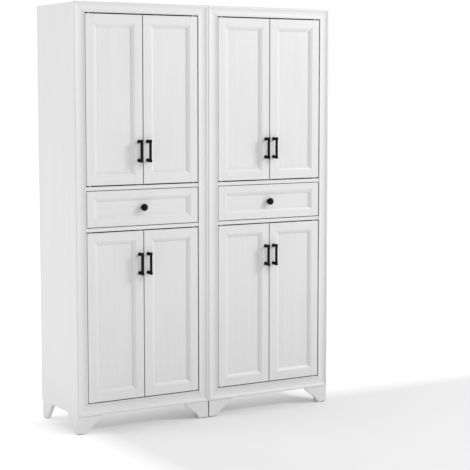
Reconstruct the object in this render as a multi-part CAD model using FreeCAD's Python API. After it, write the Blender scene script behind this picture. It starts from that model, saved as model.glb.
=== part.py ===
import FreeCAD
import Part

import os

# Pantry cabinet: two equal towers side by side.  Each tower has a pair of doors
# above, one drawer, and a pair of doors below, all inset in a coved face frame.
# Millimetres.  +X to the right, +Y to the back, +Z up.  Origin on the floor,
# under the middle of the whole cabinet with its pulls.
# Every tower is drawn in its own frame first: x from its left outer edge,
# y from the face of its doors, z from the floor.

# ---- overall sizes ----
TOWER_WIDTH = 603.25
HEIGHT = 1724.0
DEPTH = 368.0
TOWERS = ("left_tower", "right_tower")

# ---- heights of the front, from the floor up ----
FOOT_HEIGHT = 70.5
LOWER_DOOR_HEIGHT = 686.2
DRAWER_FRONT_HEIGHT = 145.2
RAIL_HEIGHT = 15.0

# ---- gaps round the doors and drawer fronts ----
# GAP is beside and between them; the pivot hinges need more room at the rails
GAP = 3.0
DOOR_END_GAP = 4.6
DOOR_FOOT_GAP = 3.0
DRAWER_GAP = 2.4

# ---- face frame ----
FRAME_STILE = 46.2
FRAME_TOP = 41.9
FRAME_BOTTOM = 49.8
FRAME_THICKNESS = 20.0
FRAME_PROUD = 3.0
FRAME_LIP_THICKNESS = 10.0
FRAME_OUTER_LIP = 8.0
FRAME_OUTER_ROUND = 3.0
FRAME_INNER_LIP = 3.5
FRAME_INNER_DROP = 1.0
FRAME_INNER_ROUND = 0.8
COVE_POLE_DEPTH = 7.5
COVE_POLE_REACH = 6.0

# ---- carcase ----
SIDE_INSET = 2.5
SIDE_THICKNESS = 18.0
DECK_THICKNESS = 15.0
BACK_THICKNESS = 9.0
BACK_CLEAR_OF_FLOOR = 75.0
UPPER_SHELVES = 2
LOWER_SHELVES = 1
SHELF_THICKNESS = 15.0
SHELF_SETBACK = 42.0
SHELF_END_CLEARANCE = 1.0
SHELF_BACK_CLEARANCE = 2.0
PIN_RADIUS = 2.5
PIN_IN_SIDE = 9.0
PIN_OUT_OF_SIDE = 8.0
PIN_FROM_SHELF_EDGE = 36.0
PIN_HOLE_PITCH = 32.0
PIN_HOLE_STEPS = (-2, -1, 0, 1, 2)
HOLE_CLEARANCE = 0.1

# ---- feet ----
FRONT_FOOT_TOP = 113.0
FRONT_FOOT_TOE = 46.0
SIDE_FOOT_FRONT_TOP = 100.0
SIDE_FOOT_FRONT_TOE = 18.0
SIDE_FOOT_BACK_TOP = 97.0
SIDE_FOOT_BACK_TOE = 36.0
SIDE_ARCH_HEIGHT = 73.0
SIDE_ARCH_FLARE = 14.0
SIDE_ARCH_TUCK = 20.0
SIDE_ARCH_SHOULDER = 24.0
# points of the front foot's ogee, as shares of its width and its rise
OGEE_WAIST = (0.42, 0.50)
OGEE_LOWER_PULL = (0.06, 0.22)
OGEE_UPPER_PULL = (0.82, 0.72)
FOOT_BLOCK = 25.0
GLIDE_HEIGHT = 3.0
GLIDE_ROUND = 1.0
FRONT_GLIDE_RADIUS = 11.0
FRONT_GLIDE_X = 15.0
FRONT_GLIDE_Y = 14.0
BACK_GLIDE_RADIUS = 8.5

# ---- doors and drawer fronts ----
DOOR_THICKNESS = 19.0
DOOR_EDGE_ROUND = 2.5
DOOR_STILE = 36.5
DOOR_RAIL = 36.5
DRAWER_STILE = 35.0
DRAWER_RAIL = 29.0
MOULDING_WIDTH = 14.0
MOULDING_QUIRK = 1.2
MOULDING_END_DEPTH = 8.0
# the slope's two pulls, as shares of its width and its depth
MOULDING_ROUND_PULL = (0.45, 0.21)
MOULDING_FOOT_PULL = (0.75, 0.80)
PANEL_DEPTH = 9.0
PANEL_THICKNESS = 6.0
PANEL_IN_GROOVE = 7.0
GROOVE_CLEARANCE = 0.5

# ---- pivot hinges ----
PIVOT_FROM_EDGE = 17.5
PIVOT_FROM_FACE = 9.0
PIVOT_RADIUS = 2.5
PIVOT_CLEARANCE = 0.05
PIVOT_LENGTH = 8.5
BUSH_RADIUS = 4.0
BUSH_LENGTH = 10.0
BUSH_CLOSED_END = 1.0
COLLAR_RADIUS = 4.8
COLLAR_CLEARANCE = 0.6
LEAF_LENGTH = 30.0
LEAF_WIDTH = 10.0
LEAF_THICKNESS = 2.5
LEAF_FROM_EDGE = 8.0
LEAF_SCREWS_FROM_PIVOT = (9.0, 16.0)
SCREW_RADIUS = 1.6
SCREW_LENGTH = 14.0

# ---- pulls, knobs and catches ----
PULL_SPACING = 76.2
PULL_LENGTH = 91.0
PULL_FROM_DOOR_END = 134.0
PULL_BAR_RADIUS = 5.4
PULL_END_RADIUS = 6.9
PULL_END_LENGTH = 6.0
PULL_TAPER_LENGTH = 10.0
PULL_END_ROUND = 1.0
PULL_BAR_OUT = 25.0
PULL_POST_RADIUS = 4.5
PULL_BASE_RADIUS = 7.6
PULL_BASE_HEIGHT = 3.6
KNOB_RADIUS = 14.8
KNOB_OUT = 25.5
KNOB_BASE_RADIUS = 8.5
KNOB_BASE_HEIGHT = 2.0
KNOB_COVE_HEIGHT = 4.0
KNOB_NECK_RADIUS = 5.5
KNOB_NECK_TOP = 8.0
KNOB_UNDERCUT = 12.0
KNOB_WIDEST = 15.5
KNOB_FLANK = 19.0
KNOB_FLANK_BULGE = 0.4
# on the knob's face, each is (in from the widest circle, back from the crown)
KNOB_SHOULDER = (2.2, 3.2)
KNOB_RIM = (4.0, 2.6)
KNOB_GROOVE = (5.0, 3.4)
KNOB_DOME_PULL = (8.5, 2.2)
KNOB_CROWN_PULL = (9.5, 0.0)
MACHINE_SCREW_RADIUS = 2.0
MACHINE_SCREW_HEAD_RADIUS = 4.0
MACHINE_SCREW_HEAD = 1.5
MACHINE_SCREW_IN_PULL = 8.0
STRIKE_LENGTH = 18.0
STRIKE_HEIGHT = 10.0
STRIKE_THICKNESS = 1.0
STRIKE_FROM_EDGE = 4.0
STRIKE_FROM_END = 1.0
CATCH_LENGTH = 50.0
CATCH_HEIGHT = 15.0
CATCH_DEPTH = 15.0
CATCH_CLEARANCE = 0.5

# ---- drawer ----
SLIDE_SPACE = 12.7
BOX_WALL = 12.0
BOX_BOTTOM = 6.0
BOX_BOTTOM_UP = 8.0
BOX_BOTTOM_IN_GROOVE = 6.0
BOX_BELOW_CLEARANCE = 11.0
BOX_ABOVE_CLEARANCE = 29.0
BOX_BEHIND_CLEARANCE = 30.0
SLIDE_UP_BOX = 40.0
TRACK_HEIGHT = 26.0
TRACK_DEPTH = 10.0
TRACK_STEEL = 1.2
TRACK_SLOT = 10.0
TRACK_BEHIND_FRONT = 2.0
RUNNER_CLEARANCE = 0.8
SPACER_HEIGHT = 50.0

# ---- bolts that join the towers ----
BOLT_FROM_END_SHARE = 1 / 6
BOLT_RADIUS = 3.5
BOLT_HEAD_RADIUS = 7.0
BOLT_HEAD = 2.5
BOLT_SPACER_RADIUS = 8.0

# ---- worked out from the sizes above ----
PULL_PROJECTION = PULL_BAR_OUT + PULL_END_RADIUS
FACE_Y = -(PULL_PROJECTION + DEPTH) / 2 + PULL_PROJECTION
FRAME_BACK = FRAME_THICKNESS - FRAME_PROUD
SIDE_FRONT = FRAME_LIP_THICKNESS - FRAME_PROUD
INSIDE_X = SIDE_INSET + SIDE_THICKNESS
INSIDE_BACK = DEPTH - BACK_THICKNESS
CARCASE_TOP = HEIGHT - SIDE_INSET
OPENING_WIDTH = TOWER_WIDTH - 2 * FRAME_STILE
DOOR_WIDTH = (OPENING_WIDTH - 3 * GAP) / 2
DRAWER_FRONT_WIDTH = OPENING_WIDTH - 2 * GAP

FLOOR_DECK_TOP = FOOT_HEIGHT + FRAME_BOTTOM
LOWER_DOOR_Z = FLOOR_DECK_TOP + DOOR_FOOT_GAP
LOWER_RAIL_Z = LOWER_DOOR_Z + LOWER_DOOR_HEIGHT + DOOR_END_GAP
LOWER_DECK_TOP = LOWER_RAIL_Z + RAIL_HEIGHT
DRAWER_Z = LOWER_DECK_TOP + DRAWER_GAP
UPPER_RAIL_Z = DRAWER_Z + DRAWER_FRONT_HEIGHT + DRAWER_GAP
UPPER_DECK_TOP = UPPER_RAIL_Z + RAIL_HEIGHT
UPPER_DOOR_Z = UPPER_DECK_TOP + DOOR_END_GAP
OPENING_TOP = HEIGHT - FRAME_TOP
UPPER_DOOR_HEIGHT = OPENING_TOP - DOOR_END_GAP - UPPER_DOOR_Z
TOP_DECK_UNDER = CARCASE_TOP - DECK_THICKNESS
LOWER_DECK_UNDER = LOWER_DECK_TOP - DECK_THICKNESS


def vec(x, y, z):
    return FreeCAD.Vector(x, y, z)


def block(x0, x1, y0, y1, z0, z1):
    return Part.makeBox(x1 - x0, y1 - y0, z1 - z0, vec(x0, y0, z0))


def cylinder(radius, length, base, direction):
    return Part.makeCylinder(radius, length, base, direction)


def cut_all(shape, tools):
    if not tools:
        return shape
    return shape.cut(Part.makeCompound(tools))


def line(a, b):
    return Part.makeLine(a, b)


def bezier(*poles):
    curve = Part.BezierCurve()
    curve.setPoles(list(poles))
    return curve.toShape()


def prism_xz(points, y0, y1):
    """A flat outline of (x, z) points, made solid from y0 to y1."""
    corners = [vec(x, y0, z) for x, z in points]
    face = Part.Face(Part.makePolygon(corners + corners[:1]))
    return face.extrude(vec(0, y1 - y0, 0))


def mirrored(shape, middle_x):
    return shape.mirror(vec(middle_x, 0, 0), vec(1, 0, 0))


def both_sides(shape, middle_x=TOWER_WIDTH / 2):
    return [shape, mirrored(shape, middle_x)]


# ---------------------------------------------------------------- face frame

def frame_outline(width, place):
    """Section of a frame member.  place(u, v) puts a point that is u in from the
    outer edge and v back from the proudest face.  All u scale with the width, so
    members of different widths meet exactly at the mitres."""
    k = width / FRAME_STILE
    inner = width - FRAME_INNER_LIP * k
    back_outer = place(0, FRAME_THICKNESS)
    lip_side = place(0, FRAME_OUTER_ROUND)
    lip_front = place(FRAME_OUTER_ROUND * k, 0)
    cove_start = place(FRAME_OUTER_LIP * k, 0)
    cove_end = place(inner, FRAME_INNER_DROP)
    inner_front = place(width - FRAME_INNER_ROUND * k, FRAME_INNER_DROP)
    inner_side = place(width, FRAME_INNER_DROP + FRAME_INNER_ROUND)
    back_inner = place(width, FRAME_THICKNESS)
    pole_a = place((FRAME_OUTER_LIP + COVE_POLE_REACH) * k, COVE_POLE_DEPTH)
    pole_b = place(inner - COVE_POLE_REACH * k, COVE_POLE_DEPTH)
    return Part.Wire([
        line(back_outer, lip_side),
        bezier(lip_side, place(0, 0), lip_front),
        line(lip_front, cove_start),
        bezier(cove_start, pole_a, pole_b, cove_end),
        line(cove_end, inner_front),
        bezier(inner_front, place(width, FRAME_INNER_DROP), inner_side),
        line(inner_side, back_inner),
        line(back_inner, back_outer),
    ])


def frame_stile():
    """Left upright, mitred at both ends."""
    def place(u, v):
        return vec(u, v - FRAME_PROUD, FOOT_HEIGHT)
    face = Part.Face(frame_outline(FRAME_STILE, place))
    bar = face.extrude(vec(0, 0, HEIGHT - FOOT_HEIGHT))
    mitre = prism_xz([(0, FOOT_HEIGHT), (FRAME_STILE, FLOOR_DECK_TOP),
                      (FRAME_STILE, OPENING_TOP), (0, HEIGHT)],
                     -FRAME_PROUD, FRAME_BACK)
    return bar.common(mitre)


def frame_end(width, outer_z, inward):
    """Top or bottom member; inward is -1 for the top and 1 for the bottom."""
    def place(u, v):
        return vec(0, v - FRAME_PROUD, outer_z + inward * u)
    face = Part.Face(frame_outline(width, place))
    bar = face.extrude(vec(TOWER_WIDTH, 0, 0))
    inner_z = outer_z + inward * width
    mitre = prism_xz([(0, outer_z), (TOWER_WIDTH, outer_z),
                      (TOWER_WIDTH - FRAME_STILE, inner_z), (FRAME_STILE, inner_z)],
                     -FRAME_PROUD, FRAME_BACK)
    return bar.common(mitre)


def cross_rail(z):
    return block(FRAME_STILE, TOWER_WIDTH - FRAME_STILE, 0, FRAME_BACK, z, z + RAIL_HEIGHT)


def pivot_places():
    """Where bushes sit: (x, z of the edge that holds the bush, way into that edge,
    gap between that edge and the door)."""
    left = FRAME_STILE + GAP + PIVOT_FROM_EDGE
    edges = [(FLOOR_DECK_TOP, -1, DOOR_FOOT_GAP), (LOWER_RAIL_Z, 1, DOOR_END_GAP),
             (UPPER_DECK_TOP, -1, DOOR_END_GAP), (OPENING_TOP, 1, DOOR_END_GAP)]
    return [(x, *edge) for x in (left, TOWER_WIDTH - left) for edge in edges]


def collar_height(gap):
    """The bush and the leaf each have a collar; between them they all but fill the gap."""
    return (gap - COLLAR_CLEARANCE) / 2


def face_frame():
    rabbets = both_sides(block(0, INSIDE_X, SIDE_FRONT, FRAME_BACK, FOOT_HEIGHT, HEIGHT))
    rabbets.append(block(0, TOWER_WIDTH, SIDE_FRONT, FRAME_BACK, TOP_DECK_UNDER, HEIGHT))
    holes = [cylinder(BUSH_RADIUS + PIVOT_CLEARANCE, BUSH_LENGTH + HOLE_CLEARANCE,
                      vec(x, PIVOT_FROM_FACE, z), vec(0, 0, way))
             for x, z, way, _ in pivot_places()]
    members = both_sides(frame_stile())
    members.append(frame_end(FRAME_TOP, HEIGHT, -1))
    members.append(frame_end(FRAME_BOTTOM, FOOT_HEIGHT, 1))
    members = [cut_all(member, rabbets + holes) for member in members]
    rails = [cut_all(cross_rail(z), holes) for z in (LOWER_RAIL_Z, UPPER_RAIL_Z)]
    return members + rails


def pivot_bushes():
    bushes = []
    for x, z, way, gap in pivot_places():
        base = vec(x, PIVOT_FROM_FACE, z)
        body = cylinder(BUSH_RADIUS, BUSH_LENGTH, base, vec(0, 0, way))
        collar = cylinder(COLLAR_RADIUS, collar_height(gap), base, vec(0, 0, -way))
        start = vec(x, PIVOT_FROM_FACE, z - way * collar_height(gap))
        bore = cylinder(PIVOT_RADIUS + PIVOT_CLEARANCE,
                        BUSH_LENGTH + collar_height(gap) - BUSH_CLOSED_END,
                        start, vec(0, 0, way))
        bushes.append(body.fuse(collar).removeSplitter().cut(bore))
    return bushes


# ------------------------------------------------------------------- carcase

def shelf_heights():
    """Undersides of the adjustable shelves, spread evenly in each compartment."""
    heights = []
    for low, high, count in ((FLOOR_DECK_TOP, LOWER_DECK_UNDER, LOWER_SHELVES),
                             (UPPER_DECK_TOP, TOP_DECK_UNDER, UPPER_SHELVES)):
        space = (high - low - count * SHELF_THICKNESS) / (count + 1)
        heights += [low + space + n * (space + SHELF_THICKNESS) for n in range(count)]
    return heights


def pin_columns():
    front = SHELF_SETBACK + PIN_FROM_SHELF_EDGE
    back = INSIDE_BACK - SHELF_BACK_CLEARANCE - PIN_FROM_SHELF_EDGE
    return (front, back)


def bolt_places():
    """(y, z) of the bolts: near the bottom and the top of each door compartment."""
    middle = DEPTH / 2
    heights = []
    for low, high in ((FLOOR_DECK_TOP, LOWER_DECK_UNDER), (UPPER_DECK_TOP, TOP_DECK_UNDER)):
        inset = (high - low) * BOLT_FROM_END_SHARE
        heights += [low + inset, high - inset]
    return [(middle, z) for z in heights]


def side_panel():
    """Left side, down to the glides, with an arch between its two feet."""
    back = INSIDE_BACK
    low = GLIDE_HEIGHT
    top = SIDE_ARCH_HEIGHT

    def at(y, z):
        return vec(SIDE_INSET, y, z)
    toe_front = SIDE_FRONT + SIDE_FOOT_FRONT_TOE
    arch_front = SIDE_FRONT + SIDE_FOOT_FRONT_TOP
    arch_back = back - SIDE_FOOT_BACK_TOP
    toe_back = back - SIDE_FOOT_BACK_TOE
    flare = SIDE_ARCH_FLARE
    shoulder = top - SIDE_ARCH_SHOULDER
    outline = Part.Wire([
        line(at(SIDE_FRONT, low), at(toe_front, low)),
        bezier(at(toe_front, low), at(toe_front + flare, low + flare),
               at(arch_front - SIDE_ARCH_TUCK, shoulder), at(arch_front, top)),
        line(at(arch_front, top), at(arch_back, top)),
        bezier(at(arch_back, top), at(arch_back + SIDE_ARCH_TUCK, shoulder),
               at(toe_back - flare, low + flare), at(toe_back, low)),
        line(at(toe_back, low), at(back, low)),
        line(at(back, low), at(back, CARCASE_TOP)),
        line(at(back, CARCASE_TOP), at(SIDE_FRONT, CARCASE_TOP)),
        line(at(SIDE_FRONT, CARCASE_TOP), at(SIDE_FRONT, low)),
    ])
    panel = Part.Face(outline).extrude(vec(SIDE_THICKNESS, 0, 0))
    holes = [cylinder(PIN_RADIUS + HOLE_CLEARANCE, PIN_IN_SIDE + HOLE_CLEARANCE,
                      vec(INSIDE_X, y, z - PIN_RADIUS + step * PIN_HOLE_PITCH), vec(-1, 0, 0))
             for z in shelf_heights() for y in pin_columns() for step in PIN_HOLE_STEPS]
    return cut_all(panel, holes)


def bolt_holes(x):
    return [cylinder(BOLT_RADIUS + HOLE_CLEARANCE, SIDE_THICKNESS, vec(x, y, z), vec(1, 0, 0))
            for y, z in bolt_places()]


def side_panels(tower):
    """The panels that face the other tower have the bolt holes."""
    left, right = both_sides(side_panel())
    if tower == TOWERS[0]:
        right = cut_all(right, bolt_holes(TOWER_WIDTH - INSIDE_X))
    else:
        left = cut_all(left, bolt_holes(SIDE_INSET))
    return [left, right]


def decks():
    """Top, drawer ceiling, drawer floor and bottom."""
    right = TOWER_WIDTH - INSIDE_X
    boards = [block(INSIDE_X, right, FRAME_BACK, INSIDE_BACK, z - DECK_THICKNESS, z)
              for z in (FLOOR_DECK_TOP, LOWER_DECK_TOP, UPPER_DECK_TOP)]
    boards.append(block(INSIDE_X, right, SIDE_FRONT, INSIDE_BACK, TOP_DECK_UNDER, CARCASE_TOP))
    return boards


def back_panel():
    return [block(SIDE_INSET, TOWER_WIDTH - SIDE_INSET, INSIDE_BACK, DEPTH,
                  BACK_CLEAR_OF_FLOOR, CARCASE_TOP)]


def shelves():
    left = INSIDE_X + SHELF_END_CLEARANCE
    return [block(left, TOWER_WIDTH - left, SHELF_SETBACK, INSIDE_BACK - SHELF_BACK_CLEARANCE,
                  z, z + SHELF_THICKNESS)
            for z in shelf_heights()]


def shelf_pins():
    pins = []
    for z in shelf_heights():
        for y in pin_columns():
            pin = cylinder(PIN_RADIUS, PIN_IN_SIDE + PIN_OUT_OF_SIDE,
                           vec(INSIDE_X - PIN_IN_SIDE, y, z - PIN_RADIUS), vec(1, 0, 0))
            pins += both_sides(pin)
    return pins


# ---------------------------------------------------------------------- feet

def front_foot():
    """Left bracket foot: an ogee from a wide top to a narrow toe.  It laps over the
    front edge of the side panel, as the face frame does, and has a block behind."""
    low = GLIDE_HEIGHT
    width = FRONT_FOOT_TOP - FRONT_FOOT_TOE
    rise = FOOT_HEIGHT - low

    def at(x, z):
        return vec(x, 0, z)

    def ogee(share):
        return at(FRONT_FOOT_TOE + width * share[0], low + rise * share[1])
    toe = at(FRONT_FOOT_TOE, low)
    waist = ogee(OGEE_WAIST)
    top = at(FRONT_FOOT_TOP, FOOT_HEIGHT)
    outline = Part.Wire([
        line(at(SIDE_INSET, low), toe),
        bezier(toe, ogee(OGEE_LOWER_PULL), waist),
        bezier(waist, ogee(OGEE_UPPER_PULL), top),
        line(top, at(SIDE_INSET, FOOT_HEIGHT)),
        line(at(SIDE_INSET, FOOT_HEIGHT), at(SIDE_INSET, low)),
    ])
    bracket = Part.Face(outline).extrude(vec(0, FRAME_BACK, 0))
    lap = block(0, INSIDE_X, SIDE_FRONT, FRAME_BACK, 0, FOOT_HEIGHT)
    corner = block(INSIDE_X, INSIDE_X + FOOT_BLOCK, FRAME_BACK, FRAME_BACK + FOOT_BLOCK,
                   low, FLOOR_DECK_TOP - DECK_THICKNESS)
    return [bracket.cut(lap), corner]


def front_feet():
    return [foot for piece in front_foot() for foot in both_sides(piece)]


def floor_glides():
    back_y = INSIDE_BACK - SIDE_FOOT_BACK_TOE / 2
    glides = []
    for radius, x, y in ((FRONT_GLIDE_RADIUS, FRONT_GLIDE_X, FRONT_GLIDE_Y),
                         (BACK_GLIDE_RADIUS, SIDE_INSET + SIDE_THICKNESS / 2, back_y)):
        disc = cylinder(radius, GLIDE_HEIGHT, vec(x, y, 0), vec(0, 0, 1))
        rim = [edge for edge in disc.Edges if edge.BoundBox.ZMax < GLIDE_ROUND]
        glides += both_sides(disc.makeFillet(GLIDE_ROUND, rim))
    return glides


# --------------------------------------------------- framed fronts and panels

def member_outline(flat, place):
    """Section of a stile or rail: flat face, quirk, sloping moulding, panel groove."""
    inner = flat + MOULDING_WIDTH
    groove = inner - PANEL_IN_GROOVE - GROOVE_CLEARANCE
    groove_back = PANEL_DEPTH + PANEL_THICKNESS
    points = [place(inner, MOULDING_END_DEPTH), place(inner, PANEL_DEPTH),
              place(groove, PANEL_DEPTH), place(groove, groove_back),
              place(inner, groove_back), place(inner, DOOR_THICKNESS),
              place(0, DOOR_THICKNESS), place(0, 0), place(flat, 0),
              place(flat, MOULDING_QUIRK)]
    pulls = [place(flat + MOULDING_WIDTH * across, MOULDING_END_DEPTH * deep)
             for across, deep in (MOULDING_ROUND_PULL, MOULDING_FOOT_PULL)]
    slope = bezier(points[-1], *pulls, points[0])
    edges = [line(a, b) for a, b in zip(points, points[1:])]
    return Part.Wire(edges + [slope])


def framed_front(width, height, stile, rail):
    """Frame members and panel of one front, from its lower left front corner."""
    m = MOULDING_WIDTH
    blank = block(0, width, 0, DOOR_THICKNESS, 0, height)
    front_edges = [edge for edge in blank.Edges if edge.BoundBox.YMax < DOOR_THICKNESS / 2]
    blank = blank.makeFillet(DOOR_EDGE_ROUND, front_edges)

    upright = Part.Face(member_outline(stile, lambda u, v: vec(u, v, 0)))
    upright = upright.extrude(vec(0, 0, height))
    upright_shape = prism_xz([(0, 0), (stile, 0), (stile, rail), (stile + m, rail + m),
                              (stile + m, height - rail - m), (stile, height - rail),
                              (stile, height), (0, height)], 0, DOOR_THICKNESS)
    left = upright.common(upright_shape).common(blank)

    level = Part.Face(member_outline(rail, lambda u, v: vec(0, v, u)))
    level = level.extrude(vec(width, 0, 0))
    level_shape = prism_xz([(stile, 0), (width - stile, 0), (width - stile, rail),
                            (width - stile - m, rail + m), (stile + m, rail + m),
                            (stile, rail)], 0, DOOR_THICKNESS)
    bottom = level.common(level_shape).common(blank)
    top = bottom.mirror(vec(0, 0, height / 2), vec(0, 0, 1))

    edge_x = stile + m - PANEL_IN_GROOVE
    edge_z = rail + m - PANEL_IN_GROOVE
    panel = block(edge_x, width - edge_x, PANEL_DEPTH, PANEL_DEPTH + PANEL_THICKNESS,
                  edge_z, height - edge_z)
    return [left, mirrored(left, width / 2), bottom, top], panel


def turned(points, axis):
    """A solid turned about an axis through the first and last points.  Each item is
    (radius, distance along the axis) or a list of three such points for a curve."""
    def place(radius, along):
        if axis == "z":
            return vec(radius, 0, along)
        return vec(radius, along, 0)
    edges = []
    here = points[0]
    for item in points[1:]:
        poles = item if isinstance(item, list) else [item]
        step = [place(*here)] + [place(*pole) for pole in poles]
        edges.append(line(*step) if len(step) == 2 else bezier(*step))
        here = poles[-1]
    edges.append(line(place(*here), place(*points[0])))
    direction = vec(0, 0, 1) if axis == "z" else vec(0, 1, 0)
    return Part.Face(Part.Wire(edges)).revolve(vec(0, 0, 0), direction, 360)


# ---------------------------------------------------------- pulls and knobs

def pull():
    """Bar with spooled ends on two turned posts, centred on its own middle and
    standing out of the face y = 0."""
    half = PULL_LENGTH / 2
    shoulder = half - PULL_END_LENGTH
    waist = shoulder - PULL_TAPER_LENGTH
    middle = (shoulder + waist) / 2
    bar = turned([
        (0, -half), (PULL_END_RADIUS - PULL_END_ROUND, -half),
        [(PULL_END_RADIUS, -half), (PULL_END_RADIUS, -half + PULL_END_ROUND)],
        (PULL_END_RADIUS, -shoulder),
        [(PULL_END_RADIUS, -middle), (PULL_BAR_RADIUS, -middle), (PULL_BAR_RADIUS, -waist)],
        (PULL_BAR_RADIUS, waist),
        [(PULL_BAR_RADIUS, middle), (PULL_END_RADIUS, middle), (PULL_END_RADIUS, shoulder)],
        (PULL_END_RADIUS, half - PULL_END_ROUND),
        [(PULL_END_RADIUS, half), (PULL_END_RADIUS - PULL_END_ROUND, half)],
        (0, half)], "z")
    bar.translate(vec(0, -PULL_BAR_OUT, 0))
    post = turned([
        (0, 0), (PULL_BASE_RADIUS, 0), (PULL_BASE_RADIUS, -PULL_BASE_HEIGHT / 2),
        [(PULL_BASE_RADIUS, -PULL_BASE_HEIGHT), (PULL_POST_RADIUS, -PULL_BASE_HEIGHT),
         (PULL_POST_RADIUS, -2 * PULL_BASE_HEIGHT)],
        (PULL_POST_RADIUS, -PULL_BAR_OUT), (0, -PULL_BAR_OUT)], "y")
    screw_hole = cylinder(MACHINE_SCREW_RADIUS, MACHINE_SCREW_IN_PULL, vec(0, 0, 0), vec(0, -1, 0))
    pieces = [bar]
    for z in (-PULL_SPACING / 2, PULL_SPACING / 2):
        stem = post.cut(screw_hole)
        stem.translate(vec(0, 0, z))
        pieces.append(stem.cut(bar))
    return pieces


def knob():
    """Round knob with a ring on its face, standing out of the face y = 0."""
    base = KNOB_BASE_RADIUS
    neck = KNOB_NECK_RADIUS

    def on_face(step):
        return (KNOB_RADIUS - step[0], step[1] - KNOB_OUT)
    body = turned([
        (0, 0), (base, 0), (base, -KNOB_BASE_HEIGHT),
        [(base, -KNOB_COVE_HEIGHT), (neck, -KNOB_COVE_HEIGHT), (neck, -KNOB_NECK_TOP)],
        [(neck, -KNOB_UNDERCUT), (KNOB_RADIUS, -KNOB_UNDERCUT), (KNOB_RADIUS, -KNOB_WIDEST)],
        [(KNOB_RADIUS + KNOB_FLANK_BULGE, -KNOB_FLANK), on_face(KNOB_SHOULDER)],
        on_face(KNOB_RIM), on_face(KNOB_GROOVE),
        [on_face(KNOB_DOME_PULL), on_face(KNOB_CROWN_PULL), (0, -KNOB_OUT)],
        ], "y")
    screw_hole = cylinder(MACHINE_SCREW_RADIUS, MACHINE_SCREW_IN_PULL, vec(0, 0, 0), vec(0, -1, 0))
    return [body.cut(screw_hole)]


def machine_screw(back_y):
    """Screw for a pull or knob: its head is at back_y, behind a front of that depth."""
    shank = cylinder(MACHINE_SCREW_RADIUS, back_y + MACHINE_SCREW_IN_PULL,
                     vec(0, back_y, 0), vec(0, -1, 0))
    head = cylinder(MACHINE_SCREW_HEAD_RADIUS, MACHINE_SCREW_HEAD, vec(0, back_y, 0), vec(0, 1, 0))
    return shank.fuse(head).removeSplitter()


# --------------------------------------------------------------------- doors

def leaf(height, way, gap):
    """Pivot leaf let into the end of the hinge stile; way is 1 at the top of the
    door and -1 at the bottom, and gap is the gap there.  Returns the leaf, its
    screws and their room."""
    end = height if way > 0 else 0
    low = min(end, end - way * LEAF_THICKNESS)
    half = LEAF_WIDTH / 2
    plate = block(LEAF_FROM_EDGE, LEAF_FROM_EDGE + LEAF_LENGTH, PIVOT_FROM_FACE - half,
                  PIVOT_FROM_FACE + half, low, low + LEAF_THICKNESS)
    foot = vec(PIVOT_FROM_EDGE, PIVOT_FROM_FACE, end)
    up = vec(0, 0, way)
    collar = cylinder(COLLAR_RADIUS, collar_height(gap), foot, up)
    pin = cylinder(PIVOT_RADIUS, gap + PIVOT_LENGTH, foot, up)
    screws = [cylinder(SCREW_RADIUS, SCREW_LENGTH,
                       vec(PIVOT_FROM_EDGE + x, PIVOT_FROM_FACE, end), vec(0, 0, -way))
              for x in LEAF_SCREWS_FROM_PIVOT]
    body = plate.fuse([collar, pin]).removeSplitter()
    return cut_all(body, screws), screws, plate


def door(height, foot_gap, pull_z, strike_end):
    """Door hinged on its left.  strike_end is the end that meets the catch:
    1 for the top and -1 for the bottom."""
    members, panel = framed_front(DOOR_WIDTH, height, DOOR_STILE, DOOR_RAIL)
    fittings = []
    room = []
    for way, gap in ((-1, foot_gap), (1, DOOR_END_GAP)):
        plate_and_pin, screws, plate = leaf(height, way, gap)
        fittings += [plate_and_pin] + screws
        room += [plate] + screws
    pull_x = DOOR_WIDTH - DOOR_STILE / 2
    handle = pull()
    for piece in handle:
        piece.translate(vec(pull_x, 0, pull_z))
    for offset in (-PULL_SPACING / 2, PULL_SPACING / 2):
        screw = machine_screw(DOOR_THICKNESS)
        screw.translate(vec(pull_x, 0, pull_z + offset))
        fittings.append(screw)
        room.append(cylinder(MACHINE_SCREW_RADIUS + HOLE_CLEARANCE, DOOR_THICKNESS,
                             vec(pull_x, 0, pull_z + offset), vec(0, 1, 0)))
    strike_low = height - STRIKE_FROM_END - STRIKE_HEIGHT if strike_end > 0 else STRIKE_FROM_END
    strike_right = DOOR_WIDTH - STRIKE_FROM_EDGE
    fittings.append(block(strike_right - STRIKE_LENGTH, strike_right, DOOR_THICKNESS,
                          DOOR_THICKNESS + STRIKE_THICKNESS, strike_low,
                          strike_low + STRIKE_HEIGHT))
    members = [cut_all(member, room) for member in members]
    return {"frame": members, "panel": [panel], "pull": handle, "fittings": fittings}


def door_catches():
    """Magnet blocks behind the middle of each pair of doors: on the floor of the
    upper compartment and under the ceiling of the lower one."""
    front = DOOR_THICKNESS + STRIKE_THICKNESS + CATCH_CLEARANCE
    left = (TOWER_WIDTH - CATCH_LENGTH) / 2
    return [block(left, left + CATCH_LENGTH, front, front + CATCH_DEPTH, z, z + CATCH_HEIGHT)
            for z in (UPPER_DECK_TOP, LOWER_DECK_UNDER - CATCH_HEIGHT)]


# -------------------------------------------------------------------- drawer

BOX_LEFT = FRAME_STILE + SLIDE_SPACE
BOX_RIGHT = TOWER_WIDTH - BOX_LEFT
BOX_BACK = INSIDE_BACK - BOX_BEHIND_CLEARANCE
BOX_LOW = DRAWER_Z + BOX_BELOW_CLEARANCE
BOX_HIGH = DRAWER_Z + DRAWER_FRONT_HEIGHT - BOX_ABOVE_CLEARANCE
SLIDE_Z = BOX_LOW + SLIDE_UP_BOX


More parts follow.
